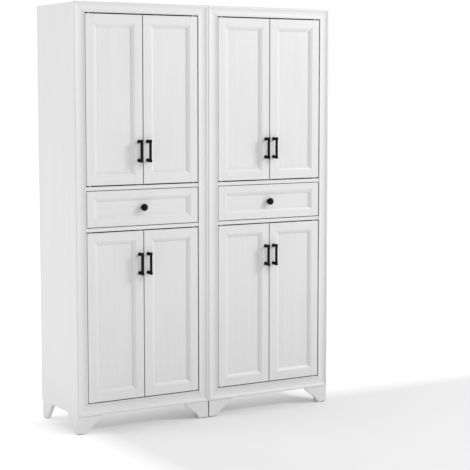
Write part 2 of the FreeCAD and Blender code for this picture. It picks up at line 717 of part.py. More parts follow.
def drawer_box():
    """Front, back and two sides, with the bottom in a groove."""
    front = DOOR_THICKNESS
    inner_left = BOX_LEFT + BOX_WALL
    inner_right = BOX_RIGHT - BOX_WALL
    low = BOX_LOW + BOX_BOTTOM_UP
    walls = [
        block(BOX_LEFT, inner_left, front, BOX_BACK, BOX_LOW, BOX_HIGH),
        block(inner_right, BOX_RIGHT, front, BOX_BACK, BOX_LOW, BOX_HIGH),
        block(inner_left, inner_right, front, front + BOX_WALL, BOX_LOW, BOX_HIGH),
        block(inner_left, inner_right, BOX_BACK - BOX_WALL, BOX_BACK, BOX_LOW, BOX_HIGH),
    ]
    g = BOX_BOTTOM_IN_GROOVE
    bottom = block(inner_left - g, inner_right + g, front + BOX_WALL - g,
                   BOX_BACK - BOX_WALL + g, low, low + BOX_BOTTOM)
    screw_room = cylinder(MACHINE_SCREW_RADIUS + HOLE_CLEARANCE, BOX_WALL,
                          vec(TOWER_WIDTH / 2, front, DRAWER_Z + DRAWER_FRONT_HEIGHT / 2),
                          vec(0, 1, 0))
    return [wall.cut(bottom).cut(screw_room) for wall in walls] + [bottom]


def slide_section(points, y0, y1):
    """A slide part on the left of the drawer: x is measured from the spacer's face
    and z from the slide's middle."""
    return prism_xz([(FRAME_STILE + x, SLIDE_Z + z) for x, z in points], y0, y1)


def drawer_tracks():
    h = TRACK_HEIGHT / 2
    s = TRACK_SLOT / 2
    t = TRACK_STEEL
    d = TRACK_DEPTH
    channel = slide_section([(0, -h), (d, -h), (d, -s), (d - t, -s), (d - t, t - h), (t, t - h),
                             (t, h - t), (d - t, h - t), (d - t, s), (d, s), (d, h), (0, h)],
                            DOOR_THICKNESS + TRACK_BEHIND_FRONT, BOX_BACK)
    return both_sides(channel)


def track_spacers():
    half = SPACER_HEIGHT / 2
    board = block(INSIDE_X, FRAME_STILE, FRAME_BACK, INSIDE_BACK, SLIDE_Z - half, SLIDE_Z + half)
    return both_sides(board)


def drawer_runner():
    c = RUNNER_CLEARANCE
    head = TRACK_HEIGHT / 2 - TRACK_STEEL - c
    neck = TRACK_SLOT / 2 - c
    inner = TRACK_STEEL + c
    outer = TRACK_DEPTH - TRACK_STEEL - c
    return slide_section([(inner, -head), (outer, -head), (outer, -neck), (SLIDE_SPACE, -neck),
                          (SLIDE_SPACE, neck), (outer, neck), (outer, head), (inner, head)],
                         DOOR_THICKNESS, BOX_BACK)


def drawer():
    members, panel = framed_front(DRAWER_FRONT_WIDTH, DRAWER_FRONT_HEIGHT,
                                  DRAWER_STILE, DRAWER_RAIL)
    left = FRAME_STILE + GAP
    for piece in members + [panel]:
        piece.translate(vec(left, 0, DRAWER_Z))
    middle = vec(TOWER_WIDTH / 2, PANEL_DEPTH, DRAWER_Z + DRAWER_FRONT_HEIGHT / 2)
    grip = knob()
    for piece in grip:
        piece.translate(middle)
    screw = machine_screw(DOOR_THICKNESS + BOX_WALL - PANEL_DEPTH)
    screw.translate(middle)
    screw_room = cylinder(MACHINE_SCREW_RADIUS + HOLE_CLEARANCE, PANEL_THICKNESS,
                          middle, vec(0, 1, 0))
    return {"front_frame": members, "front_panel": [panel.cut(screw_room)], "knob": grip,
            "box": drawer_box(), "fittings": both_sides(drawer_runner()) + [screw]}


# -------------------------------------------------------------- joining bolts

def joining_bolts():
    """Bolts with a head at each end and a spacer ring in the gap between the
    towers; x is measured from the plane where the towers meet."""
    pieces = []
    for y, z in bolt_places():
        shank = cylinder(BOLT_RADIUS, 2 * INSIDE_X, vec(-INSIDE_X, y, z), vec(1, 0, 0))
        heads = [cylinder(BOLT_HEAD_RADIUS, BOLT_HEAD, vec(x, y, z), vec(1, 0, 0))
                 for x in (-INSIDE_X - BOLT_HEAD, INSIDE_X)]
        pieces.append(shank.fuse(heads).removeSplitter())
        ring = cylinder(BOLT_SPACER_RADIUS, 2 * SIDE_INSET, vec(-SIDE_INSET, y, z), vec(1, 0, 0))
        hole = cylinder(BOLT_RADIUS + HOLE_CLEARANCE, 2 * SIDE_INSET,
                        vec(-SIDE_INSET, y, z), vec(1, 0, 0))
        pieces.append(ring.cut(hole))
    return pieces


# ------------------------------------------------------------------ assembly

def door_set():
    """The four doors of a tower by name, each in the tower's frame."""
    kinds = {"upper": (UPPER_DOOR_Z, UPPER_DOOR_HEIGHT, DOOR_END_GAP, PULL_FROM_DOOR_END, -1),
             "lower": (LOWER_DOOR_Z, LOWER_DOOR_HEIGHT, DOOR_FOOT_GAP,
                       LOWER_DOOR_HEIGHT - PULL_FROM_DOOR_END, 1)}
    doors = {}
    for level, (z, *shape) in kinds.items():
        pieces = door(*shape)
        for solids in pieces.values():
            for solid in solids:
                solid.translate(vec(FRAME_STILE + GAP, 0, z))
        doors[level + "_left_door"] = pieces
        doors[level + "_right_door"] = {
            name: [mirrored(solid, TOWER_WIDTH / 2) for solid in solids]
            for name, solids in pieces.items()}
    return doors


def tower_nodes(tower):
    nodes = {"sides": side_panels(tower), "decks": decks(), "shelves": shelves(),
             "back_panel": back_panel(), "face_frame": face_frame()}
    for name, pieces in list(door_set().items()) + [("drawer", drawer())]:
        for piece, solids in pieces.items():
            nodes[name + "_" + piece] = solids
    return nodes


def shared_nodes():
    return {"front_feet": front_feet(), "floor_glides": floor_glides(),
            "pivot_bushes": pivot_bushes(), "drawer_tracks": drawer_tracks(),
            "track_spacers": track_spacers(), "shelf_pins": shelf_pins(),
            "door_catches": door_catches()}


def moved(solids, x):
    copies = [solid.copy() for solid in solids]
    for solid in copies:
        solid.translate(vec(x, FACE_Y, 0))
    return copies


def write(node, solids):
    Part.makeCompound(solids).exportStep("parts/" + node + ".step")


def build():
    os.makedirs("parts", exist_ok=True)
    tower_x = {"left_tower": -TOWER_WIDTH, "right_tower": 0.0}
    for tower in TOWERS:
        for node, solids in tower_nodes(tower).items():
            write(tower + "_" + node, moved(solids, tower_x[tower]))
    for node, solids in shared_nodes().items():
        write(node, [copy for x in tower_x.values() for copy in moved(solids, x)])
    write("joining_bolts", moved(joining_bolts(), 0.0))


build()
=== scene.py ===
import math

import bmesh
import bpy
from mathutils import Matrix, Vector


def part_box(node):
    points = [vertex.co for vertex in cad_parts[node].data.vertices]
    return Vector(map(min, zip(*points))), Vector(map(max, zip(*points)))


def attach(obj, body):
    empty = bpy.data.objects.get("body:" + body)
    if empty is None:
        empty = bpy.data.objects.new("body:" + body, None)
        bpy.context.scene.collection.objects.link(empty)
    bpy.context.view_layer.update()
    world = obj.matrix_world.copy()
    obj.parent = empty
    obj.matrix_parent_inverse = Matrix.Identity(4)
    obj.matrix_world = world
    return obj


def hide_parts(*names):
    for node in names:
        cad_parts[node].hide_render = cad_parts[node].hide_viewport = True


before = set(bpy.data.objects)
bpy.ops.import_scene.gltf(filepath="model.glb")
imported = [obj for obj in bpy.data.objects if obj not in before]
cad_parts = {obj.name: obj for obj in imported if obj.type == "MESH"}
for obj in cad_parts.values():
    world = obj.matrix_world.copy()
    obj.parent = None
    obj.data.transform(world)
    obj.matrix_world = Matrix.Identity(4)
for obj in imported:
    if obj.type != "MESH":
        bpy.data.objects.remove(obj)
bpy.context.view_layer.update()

X = Vector((1, 0, 0))
Y = Vector((0, 1, 0))
Z = Vector((0, 0, 1))
TOWERS = ("left_tower", "right_tower")
DOORS = ("upper_left_door", "upper_right_door", "lower_left_door", "lower_right_door")

# ---- gaps round the doors and drawers, in metres ----
GAP = 0.003
DOOR_END_GAP = 0.0046
DOOR_FOOT_GAP = 0.003
DRAWER_GAP = 0.0024

# ---- face frame: a cove between an outer lip and a thin inner lip ----
FACE_FRAME_DEPTH = 0.020
FACE_FRAME_PROUD = 0.003
FACE_FRAME_ROUND = 0.003
LIP_DEPTH = 0.010
SIDE_ROOM = 0.0205
TOP_ROOM = 0.0175
COVE_FROM_EDGE = 0.008
COVE_TO_INSIDE = 0.0035
COVE_PULL = 0.006
COVE_DEPTH = 0.0075
INNER_LIP_DROP = 0.001
COVE_STEPS = 12

# ---- doors and drawer fronts: flat members with a sloping moulding ----
DOOR_STILE = 0.0365
DOOR_RAIL = 0.0365
DRAWER_STILE = 0.035
DRAWER_RAIL = 0.029
MOULDING = 0.014
MOULDING_DEPTH = 0.008
MOULDING_ROUND_PULL = (0.45, 0.21)
MOULDING_FOOT_PULL = (0.75, 0.80)
QUIRK_WIDTH = 0.0010
QUIRK_DEPTH = 0.0012
SLOPE_STEPS = 6
FRONT_ROUND = 0.0025
ROUND_STEPS = 3
LEAF_FROM_EDGE = 0.008
LEAF_LENGTH = 0.030
LEAF_FROM_FACE = 0.004
LEAF_WIDTH = 0.010
LEAF_THICKNESS = 0.0025

# ---- front feet ----
FOOT_INSET = 0.0025
FOOT_TOE = 0.046
FOOT_TOP = 0.113
OGEE_WAIST = (0.42, 0.50)
OGEE_LOWER_PULL = (0.06, 0.22)
OGEE_UPPER_PULL = (0.82, 0.72)
OGEE_STEPS = 7
FOOT_BLOCK = 0.025
FOOT_BLOCK_CHAMFER = 0.006

# ---- bar pulls and round knobs ----
PULL_SPACING = 0.0762
PULL_END_RADIUS = 0.0069
PULL_BAR_RADIUS = 0.0054
PULL_END_LENGTH = 0.006
PULL_TAPER = 0.010
PULL_END_ROUND = 0.0012
PULL_BASE_RADIUS = 0.0076
PULL_BASE_HEIGHT = 0.0036
PULL_POST_RADIUS = 0.0045
TAPER_STEPS = 6
KNOB_SEGMENTS = 56

# ---- drawer box ----
BOX_WALL = 0.012
BOX_BOTTOM = 0.006
BOX_BOTTOM_UP = 0.008
BOX_ROUND = 0.002

# ---- arrises, and how near counts as touching ----
EASE = 0.0004
EASE_STEPS = 2
NEAR = 0.00005
BEYOND = 0.002
SMOOTH_ANGLE = math.radians(35)

# ---- white paint: how light it is, how deep its brush marks are ----
PAINT_LIGHT = 0.645
# painted light: the sides' white is a touch lighter than the fronts', for the brighter light that
# falls on the sides
SIDE_PAINTED_LIGHT = 0.652
DECK_LIGHT = 0.61
BOARD_LIGHT = 0.62
PAINT_RELIEF = 0.00028
SIDE_RELIEF = 0.00020
PANEL_RELIEF = 0.00018
DECK_DULLNESS = 0.40
# painted shade in narrow gaps and grooves: how far it reaches, and how dark it makes the white
GAP_SHADE_REACH = 0.009
CREVICE_SHADE = 0.12

# ---- studio floor: its paint, its own glow (painted light that lifts its shadows), and where the glow has turned it white ----
FLOOR_PAINT = (0.66, 0.68)
FLOOR_GLOW = (0.14, 0.66)
FLOOR_BACK_FADE = (-0.15, 0.35)
FLOOR_LEFT_FADE = (-0.85, -0.45)
FLOOR_FAR_FADE = (1.7, 3.4)

# ------------------------------------------------------------ modelling hands


def work_on(piece):
    bpy.ops.object.select_all(action="DESELECT")
    piece.select_set(True)
    bpy.context.view_layer.objects.active = piece


def open_mesh(piece):
    """Into edit mode with nothing picked."""
    work_on(piece)
    bpy.ops.object.mode_set(mode="EDIT")
    bpy.ops.mesh.select_mode(type="FACE")
    bpy.ops.mesh.select_all(action="DESELECT")


def close_mesh():
    bpy.ops.object.mode_set(mode="OBJECT")


def pick(kind, wanted):
    """Picks what the wanted test says yes to; kind is VERT, EDGE or FACE."""
    bpy.ops.mesh.select_mode(type=kind)
    bpy.ops.mesh.select_all(action="DESELECT")
    data = bpy.context.object.data
    mesh = bmesh.from_edit_mesh(data)
    for item in {"VERT": mesh.verts, "EDGE": mesh.edges, "FACE": mesh.faces}[kind]:
        if wanted(item):
            item.select_set(True)
    bmesh.update_edit_mesh(data)


def move(step):
    bpy.ops.transform.translate(value=step)


def slice_at(point, normal, clear=False):
    """Cuts the open mesh along a plane, and with clear takes off what lies past it."""
    bpy.ops.mesh.select_all(action="SELECT")
    bpy.ops.mesh.bisect(plane_co=point, plane_no=normal, use_fill=clear, clear_outer=clear)


def block(name, corner_a, corner_b):
    """A squared blank between two opposite corners, to be shaped further."""
    size = [abs(b - a) for a, b in zip(corner_a, corner_b)]
    middle = [(a + b) / 2 for a, b in zip(corner_a, corner_b)]
    bpy.ops.object.select_all(action="DESELECT")
    bpy.ops.mesh.primitive_cube_add(size=1.0, location=middle, scale=size)
    bpy.ops.object.transform_apply(location=True, rotation=True, scale=True)
    bpy.context.object.name = name
    return bpy.context.object


def use_modifier(piece, kind, **settings):
    work_on(piece)
    modifier = piece.modifiers.new(kind.lower(), kind)
    for key, value in settings.items():
        setattr(modifier, key, value)
    bpy.ops.object.modifier_apply(modifier=modifier.name)


def carve(piece, corner_a, corner_b):
    """Cuts a squared pocket out of a piece, between two opposite corners."""
    cutter = block("cutter", corner_a, corner_b)
    use_modifier(piece, "BOOLEAN", object=cutter, operation="DIFFERENCE", solver="EXACT")
    bpy.data.objects.remove(cutter)


def ease(piece, width=EASE):
    """Takes the sharpness off every arris."""
    use_modifier(piece, "BEVEL", width=width, segments=EASE_STEPS, limit_method="ANGLE",
                 angle_limit=SMOOTH_ANGLE, harden_normals=False)


def smooth(piece):
    """Smooth shading that leaves the broad flat faces flat."""
    work_on(piece)
    bpy.ops.object.shade_smooth_by_angle(angle=SMOOTH_ANGLE)
    use_modifier(piece, "WEIGHTED_NORMAL", keep_sharp=True, weight=100)


def join(pieces, name):
    work_on(pieces[0])
    for piece in pieces:
        piece.select_set(True)
    bpy.ops.object.join()
    pieces[0].name = name
    return pieces[0]


def duplicate(piece, name, offset=(0, 0, 0)):
    work_on(piece)
    bpy.ops.object.duplicate(linked=False)
    copy = bpy.context.object
    copy.name = name
    copy.location = offset
    bpy.ops.object.transform_apply(location=True, rotation=True, scale=True)
    return copy


def mirror_across(piece, middle_x):
    """Flips the mesh left to right about the plane x = middle_x."""
    open_mesh(piece)
    bpy.ops.mesh.select_all(action="SELECT")
    bpy.ops.transform.resize(value=(-1, 1, 1), center_override=(middle_x, 0, 0))
    bpy.ops.mesh.normals_make_consistent(inside=False)
    close_mesh()


def turned(name, centre, along, stations, segments=40):
    """A turned shape.  stations are (distance along the axis, radius), first to last,
    drawn out ring by ring from a disc at the first station."""
    first, radius = stations[0]
    turn = Z.rotation_difference(Vector(along)).to_euler()
    bpy.ops.object.select_all(action="DESELECT")
    bpy.ops.mesh.primitive_circle_add(vertices=segments, radius=radius, fill_type="NGON",
                                      location=Vector(centre) + Vector(along) * first,
                                      rotation=turn)
    bpy.ops.object.transform_apply(location=True, rotation=True, scale=True)
    piece = bpy.context.object
    piece.name = name
    bpy.ops.object.mode_set(mode="EDIT")
    bpy.ops.mesh.select_mode(type="FACE")
    bpy.ops.mesh.select_all(action="SELECT")
    for (a, r_a), (b, r_b) in zip(stations, stations[1:]):
        step = Vector(along) * (b - a)
        bpy.ops.mesh.extrude_region_move(TRANSFORM_OT_translate={"value": step})
        if r_b != r_a:
            bpy.ops.transform.resize(value=(r_b / r_a,) * 3,
                                     center_override=Vector(centre) + Vector(along) * b)
    bpy.ops.mesh.select_all(action="SELECT")
    bpy.ops.mesh.normals_make_consistent(inside=False)
    close_mesh()
    return piece


def curve_points(poles, steps):
    """Points along a cubic curve with four poles, ends included."""
    points = []
    for n in range(steps + 1):
        t = n / steps
        shares = ((1 - t) ** 3, 3 * t * (1 - t) ** 2, 3 * t * t * (1 - t), t ** 3)
        points.append(tuple(sum(s * pole[axis] for s, pole in zip(shares, poles))
                            for axis in (0, 1)))
    return points


# ------------------------------------------------------------------ materials


def new_group(name, inputs, outputs):
    """A shader node group; inputs and outputs are (name, kind, default)."""
    tree = bpy.data.node_groups.new(name, "ShaderNodeTree")
    for way, sockets in (("INPUT", inputs), ("OUTPUT", outputs)):
        for label, kind, default in sockets:
            socket = tree.interface.new_socket(name=label, in_out=way,
                                               socket_type="NodeSocket" + kind)
            if default is not None:
                socket.default_value = default
    return tree, tree.nodes.new("NodeGroupInput"), tree.nodes.new("NodeGroupOutput")


def add(tree, kind, **settings):
    """A node with its settings; names of sockets are given as in_Name."""
    node = tree.nodes.new(kind)
    for key, value in settings.items():
        if key.startswith("in_"):
            node.inputs[key[3:].replace("_", " ")].default_value = value
        else:
            setattr(node, key, value)
    return node


def maths(tree, operation, a, b):
    node = add(tree, "ShaderNodeMath", operation=operation)
    for socket, value in zip(node.inputs, (a, b)):
        if isinstance(value, (int, float)):
            socket.default_value = value
        else:
            tree.links.new(value, socket)
    return node.outputs[0]


def brush_marks():
    """Long marks along Z: fine bristle lines over broad, soft streaks."""
    tree, start, end = new_group(
        "brush_marks",
        [("Vector", "Vector", None), ("Across", "Float", 700.0), ("Along", "Float", 12.0),
         ("Streak", "Float", 70.0)],
        [("Height", "Float", None), ("Tone", "Float", None)])
    link = tree.links.new

    def stretched(across, along, detail):
        size = add(tree, "ShaderNodeCombineXYZ")
        link(across, size.inputs["X"])
        link(across, size.inputs["Y"])
        link(along, size.inputs["Z"])
        place = add(tree, "ShaderNodeMapping")
        link(start.outputs["Vector"], place.inputs["Vector"])
        link(size.outputs["Vector"], place.inputs["Scale"])
        noise = add(tree, "ShaderNodeTexNoise", in_Scale=1.0, in_Detail=detail, in_Roughness=0.6)
        link(place.outputs["Vector"], noise.inputs["Vector"])
        return noise.outputs["Fac"]
    fine = stretched(start.outputs["Across"], start.outputs["Along"], 3.0)
    slow = maths(tree, "MULTIPLY", start.outputs["Along"], 0.18)
    broad = stretched(start.outputs["Streak"], slow, 2.0)
    height = maths(tree, "ADD", maths(tree, "MULTIPLY", fine, 0.55),
                   maths(tree, "MULTIPLY", broad, 0.45))
    link(height, end.inputs["Height"])
    tone = maths(tree, "ADD", maths(tree, "MULTIPLY", broad, 0.7),
                 maths(tree, "MULTIPLY", fine, 0.3))
    link(tone, end.inputs["Tone"])
    return tree


def worn_edges():
    """Normals rounded over every edge, and a mask that is 1 on the edges."""
    tree, start, end = new_group(
        "worn_edges",
        [("Radius", "Float", 0.001), ("Reach", "Float", 6.0)],
        [("Normal", "Vector", None), ("Edge", "Float", None)])
    link = tree.links.new
    rounded = add(tree, "ShaderNodeBevel", samples=4)
    link(start.outputs["Radius"], rounded.inputs["Radius"])
    flat = add(tree, "ShaderNodeNewGeometry")
    likeness = add(tree, "ShaderNodeVectorMath", operation="DOT_PRODUCT")
    link(rounded.outputs["Normal"], likeness.inputs[0])
    link(flat.outputs["Normal"], likeness.inputs[1])
    off = maths(tree, "SUBTRACT", 1.0, likeness.outputs["Value"])
    reach = add(tree, "ShaderNodeMath", operation="MULTIPLY", use_clamp=True)
    link(off, reach.inputs[0])
    link(start.outputs["Reach"], reach.inputs[1])
    link(rounded.outputs["Normal"], end.inputs["Normal"])
    link(reach.outputs[0], end.inputs["Edge"])
    return tree


def painted_gap_shade():
    """A mask for painted shade: 0 in the open, nearing 1 down in narrow gaps and grooves."""
    tree, start, end = new_group("painted_gap_shade", [("Reach", "Float", 0.01)],
                                 [("Depth", "Float", None)])
    open_air = add(tree, "ShaderNodeAmbientOcclusion", samples=6)
    tree.links.new(start.outputs["Reach"], open_air.inputs["Distance"])
    tree.links.new(maths(tree, "SUBTRACT", 1.0, open_air.outputs["AO"]), end.inputs["Depth"])
    return tree


def speckle():
    """Small pimples, as sprayed paint and moulded plastic have, and slow clouding."""
    tree, start, end = new_group(
        "speckle",
        [("Vector", "Vector", None), ("Size", "Float", 900.0), ("Cloud", "Float", 5.0)],
        [("Height", "Float", None), ("Cloud", "Float", None)])
    link = tree.links.new
    for size, detail, out in (("Size", 2.0, "Height"), ("Cloud", 3.0, "Cloud")):
        noise = add(tree, "ShaderNodeTexNoise", in_Detail=detail, in_Roughness=0.5)
        link(start.outputs["Vector"], noise.inputs["Vector"])
        link(start.outputs[size], noise.inputs["Scale"])
        link(noise.outputs["Fac"], end.inputs[out])
    return tree


BRUSH_MARKS = brush_marks()
WORN_EDGES = worn_edges()
PAINTED_GAP_SHADE_MASK = painted_gap_shade()
SPECKLE = speckle()
ALONG_Z = (0, 0, 0)
ALONG_X = (0, math.radians(90), 0)
ALONG_Y = (math.radians(90), 0, 0)


class Finish:
    """A material under construction: its tree, its shader and its object coordinates."""

    def __init__(self, name, grain=ALONG_Z, **surface):
        self.material = bpy.data.materials.new(name)
        self.material.use_nodes = True
        self.tree = self.material.node_tree
        self.tree.nodes.clear()
        self.shader = add(self.tree, "ShaderNodeBsdfPrincipled")
        for key, value in surface.items():
            self.shader.inputs[key.replace("_", " ")].default_value = value
        result = add(self.tree, "ShaderNodeOutputMaterial")
        self.link(self.shader.outputs[0], result.inputs["Surface"])
        place = add(self.tree, "ShaderNodeTexCoord")
        turn = add(self.tree, "ShaderNodeMapping", in_Rotation=grain)
        self.link(place.outputs["Object"], turn.inputs["Vector"])
        self.vector = turn.outputs["Vector"]

    def link(self, source, socket):
        self.tree.links.new(source, socket)

    def effect(self, tree, **values):
        node = add(self.tree, "ShaderNodeGroup")
        node.node_tree = tree
        for key, value in values.items():
            node.inputs[key].default_value = value
        if "Vector" in node.inputs:
            self.link(self.vector, node.inputs["Vector"])
        return node.outputs

    def ramp(self, source, low, high, start=0.3, stop=0.7):
        node = add(self.tree, "ShaderNodeMapRange")
        for socket, value in zip(node.inputs[1:5], (start, stop, low, high)):
            socket.default_value = value
        self.link(source, node.inputs["Value"])
        return node.outputs["Result"]

    def blend(self, share, colour_a, colour_b):
        node = add(self.tree, "ShaderNodeMix", data_type="RGBA")
        self.link(share, node.inputs["Factor"])
        for socket, colour in ((node.inputs[6], colour_a), (node.inputs[7], colour_b)):
            if isinstance(colour, tuple):
                socket.default_value = (*colour, 1.0)
            else:
                self.link(colour, socket)
        return node.outputs[2]

    def sum(self, a, b):
        return maths(self.tree, "ADD", a, b)

    def bump(self, height, distance, strength=1.0, normal=None):
        node = add(self.tree, "ShaderNodeBump", in_Distance=distance, in_Strength=strength)
        self.link(height, node.inputs["Height"])
        if normal is not None:
            self.link(normal, node.inputs["Normal"])
        self.link(node.outputs["Normal"], self.shader.inputs["Normal"])

    def put(self, name, source):
        self.link(source, self.shader.inputs[name])


def grey(value, warmth=0.0):
    return (value * (1 + warmth), value, value * (1 - warmth))


def lacquer(name, grain, light=PAINT_LIGHT, relief=PAINT_RELIEF, dull=0.0):
    """Satin white paint, brushed or sprayed over wood whose grain still shows, with painted shade
    darkening it down in narrow gaps.
    """
    finish = Finish(name, grain, IOR=1.46)
    marks = finish.effect(BRUSH_MARKS, Across=650.0, Along=9.0, Streak=75.0)
    spots = finish.effect(SPECKLE, Size=1100.0, Cloud=3.2)
    edges = finish.effect(WORN_EDGES, Radius=0.0008, Reach=5.0)
    # corners holds the mask for painted shade down in narrow gaps and grooves
    corners = finish.effect(PAINTED_GAP_SHADE_MASK, Reach=GAP_SHADE_REACH)
    paint = finish.blend(finish.ramp(marks["Tone"], 0.0, 1.0), grey(light * 0.94),
                         grey(light * 1.01))
    paint = finish.blend(finish.ramp(spots["Cloud"], 0.0, 0.35), paint, grey(light * 1.03))
    paint = finish.blend(finish.ramp(edges["Edge"], 0.0, 0.5, 0.0, 1.0), paint, grey(light * 1.05))
    # painted shade: the white is darkened where the gap mask is deep
    paint = finish.blend(finish.ramp(corners["Depth"], 0.0, 0.9, 0.55, 0.9), paint,
                         grey(light * CREVICE_SHADE))
    finish.put("Base Color", paint)
    rough = finish.sum(finish.ramp(spots["Cloud"], 0.36 + dull, 0.46 + dull),
                       finish.ramp(marks["Tone"], 0.0, 0.06))
    finish.put("Roughness", rough)
    height = finish.sum(marks["Height"], finish.ramp(spots["Height"], 0.0, 0.12))
    finish.bump(height, relief, 0.8, edges["Normal"])
    return finish.material


def powder_coat():
    """Satin black powder coat, rubbed a little brighter on its edges."""
    finish = Finish("black_powder_coat", IOR=1.2)
    spots = finish.effect(SPECKLE, Size=2600.0, Cloud=60.0)
    edges = finish.effect(WORN_EDGES, Radius=0.0007, Reach=4.0)
    coat = finish.blend(finish.ramp(spots["Cloud"], 0.0, 1.0), grey(0.0015), grey(0.003))
    coat = finish.blend(finish.ramp(edges["Edge"], 0.0, 0.5, 0.1, 1.0), coat, grey(0.012))
    finish.put("Base Color", coat)
    finish.put("Roughness", finish.ramp(spots["Cloud"], 0.34, 0.44))
    finish.bump(spots["Height"], 0.00008, 0.6)
    return finish.material


def zinc():
    """Bright zinc plate with fine draw lines and dull patches."""
    finish = Finish("zinc_plate", Metallic=1.0)
    marks = finish.effect(BRUSH_MARKS, Across=2500.0, Along=60.0, Streak=400.0)
    spots = finish.effect(SPECKLE, Size=1500.0, Cloud=120.0)
    edges = finish.effect(WORN_EDGES, Radius=0.0003, Reach=4.0)
    metal = finish.blend(finish.ramp(spots["Cloud"], 0.0, 1.0), grey(0.52, 0.01),
                         grey(0.70, -0.01))
    metal = finish.blend(finish.ramp(edges["Edge"], 0.0, 0.6, 0.0, 1.0), metal, grey(0.82))
    finish.put("Base Color", metal)
    finish.put("Roughness", finish.sum(finish.ramp(spots["Cloud"], 0.26, 0.40),
                                       finish.ramp(marks["Tone"], 0.0, 0.10)))
    finish.bump(marks["Height"], 0.00003, 0.5, edges["Normal"])
    return finish.material


def board(name, light):
    """Matt painted fibreboard: even, with a faint felt of fibres."""
    finish = Finish(name, IOR=1.45)
    spots = finish.effect(SPECKLE, Size=420.0, Cloud=7.0)
    marks = finish.effect(BRUSH_MARKS, Across=900.0, Along=300.0, Streak=60.0)
    edges = finish.effect(WORN_EDGES, Radius=0.0006, Reach=5.0)
    paint = finish.blend(finish.ramp(spots["Height"], 0.0, 1.0), grey(light * 0.95), grey(light))
    paint = finish.blend(finish.ramp(spots["Cloud"], 0.0, 0.4), paint, grey(light * 1.04))
    paint = finish.blend(finish.ramp(edges["Edge"], 0.0, 0.5, 0.0, 1.0), paint, grey(light * 0.86))
    finish.put("Base Color", paint)
    finish.put("Roughness", finish.ramp(marks["Tone"], 0.55, 0.70))
    finish.bump(finish.sum(spots["Height"], marks["Height"]), 0.00012, 0.8, edges["Normal"])
    return finish.material


def hardwood(name, grain):
    """Clear sealed pale hardwood with growth bands and short pores."""
    finish = Finish(name, grain, IOR=1.48)
    marks = finish.effect(BRUSH_MARKS, Across=1400.0, Along=45.0, Streak=120.0)
    wander = add(finish.tree, "ShaderNodeMapping", in_Scale=(7.0, 7.0, 0.7))
    finish.link(finish.vector, wander.inputs["Vector"])
    bands = add(finish.tree, "ShaderNodeTexWave", wave_type="RINGS", rings_direction="Z",
                in_Scale=2.6, in_Distortion=5.0, in_Detail=3.0)
    bands.inputs["Detail Scale"].default_value = 0.8
    finish.link(wander.outputs["Vector"], bands.inputs["Vector"])
    edges = finish.effect(WORN_EDGES, Radius=0.0006, Reach=5.0)
    wood = finish.blend(finish.ramp(bands.outputs["Fac"], 0.0, 1.0, 0.0, 1.0),
                        (0.66, 0.52, 0.36), (0.58, 0.43, 0.28))
    wood = finish.blend(finish.ramp(marks["Tone"], 0.5, 0.0), wood, (0.42, 0.29, 0.17))
    wood = finish.blend(finish.ramp(edges["Edge"], 0.0, 0.5, 0.0, 1.0), wood, (0.50, 0.36, 0.22))
    finish.put("Base Color", wood)
    finish.put("Roughness", finish.ramp(marks["Tone"], 0.34, 0.50))
    finish.bump(marks["Height"], 0.00015, 0.7, edges["Normal"])
    return finish.material


def moulded(name, dark, light, low, high):
    """Moulded plastic with a fine spark texture, scuffed on its edges."""
    finish = Finish(name, IOR=1.47)
    spots = finish.effect(SPECKLE, Size=1800.0, Cloud=90.0)
    edges = finish.effect(WORN_EDGES, Radius=0.0004, Reach=4.0)
    body = finish.blend(finish.ramp(spots["Cloud"], 0.0, 1.0), grey(dark), grey(light))
    body = finish.blend(finish.ramp(edges["Edge"], 0.0, 0.4, 0.0, 1.0), body, grey(light * 1.15))
    finish.put("Base Color", body)
    finish.put("Roughness", finish.ramp(spots["Cloud"], low, high))
    finish.bump(spots["Height"], 0.00008, 0.7, edges["Normal"])
    return finish.material


def floor_paint():
    """Pale grey studio floor with painted light: its own glow lifts its shadows and rises to white
    behind, to the left and far out.
    """
    finish = Finish("studio_floor", Roughness=0.85)
    spots = finish.effect(SPECKLE, Size=160.0, Cloud=0.8)
    finish.put("Base Color", finish.blend(finish.ramp(spots["Cloud"], 0.0, 1.0),
                                          *map(grey, FLOOR_PAINT)))
    parts = add(finish.tree, "ShaderNodeSeparateXYZ")
    finish.link(finish.vector, parts.inputs[0])
    back = finish.ramp(parts.outputs["Y"], 0.0, 1.0, *FLOOR_BACK_FADE)
    left = finish.ramp(parts.outputs["X"], 1.0, 0.0, *FLOOR_LEFT_FADE)
    reach = add(finish.tree, "ShaderNodeVectorMath", operation="LENGTH")
    finish.link(finish.vector, reach.inputs[0])
    out = finish.ramp(reach.outputs["Value"], 0.0, 1.0, *FLOOR_FAR_FADE)
    far = maths(finish.tree, "MAXIMUM", maths(finish.tree, "MAXIMUM", back, left), out)
    # painted light: the floor glows, faintly everywhere and fully white where far reaches 1
    finish.shader.inputs["Emission Strength"].default_value = 1.0
    finish.put("Emission Color", finish.blend(far, *map(grey, FLOOR_GLOW)))
    return finish.material


PAINT_UPRIGHT = lacquer("white_lacquer_upright", ALONG_Z)
PAINT_LEVEL = lacquer("white_lacquer_level", ALONG_X)
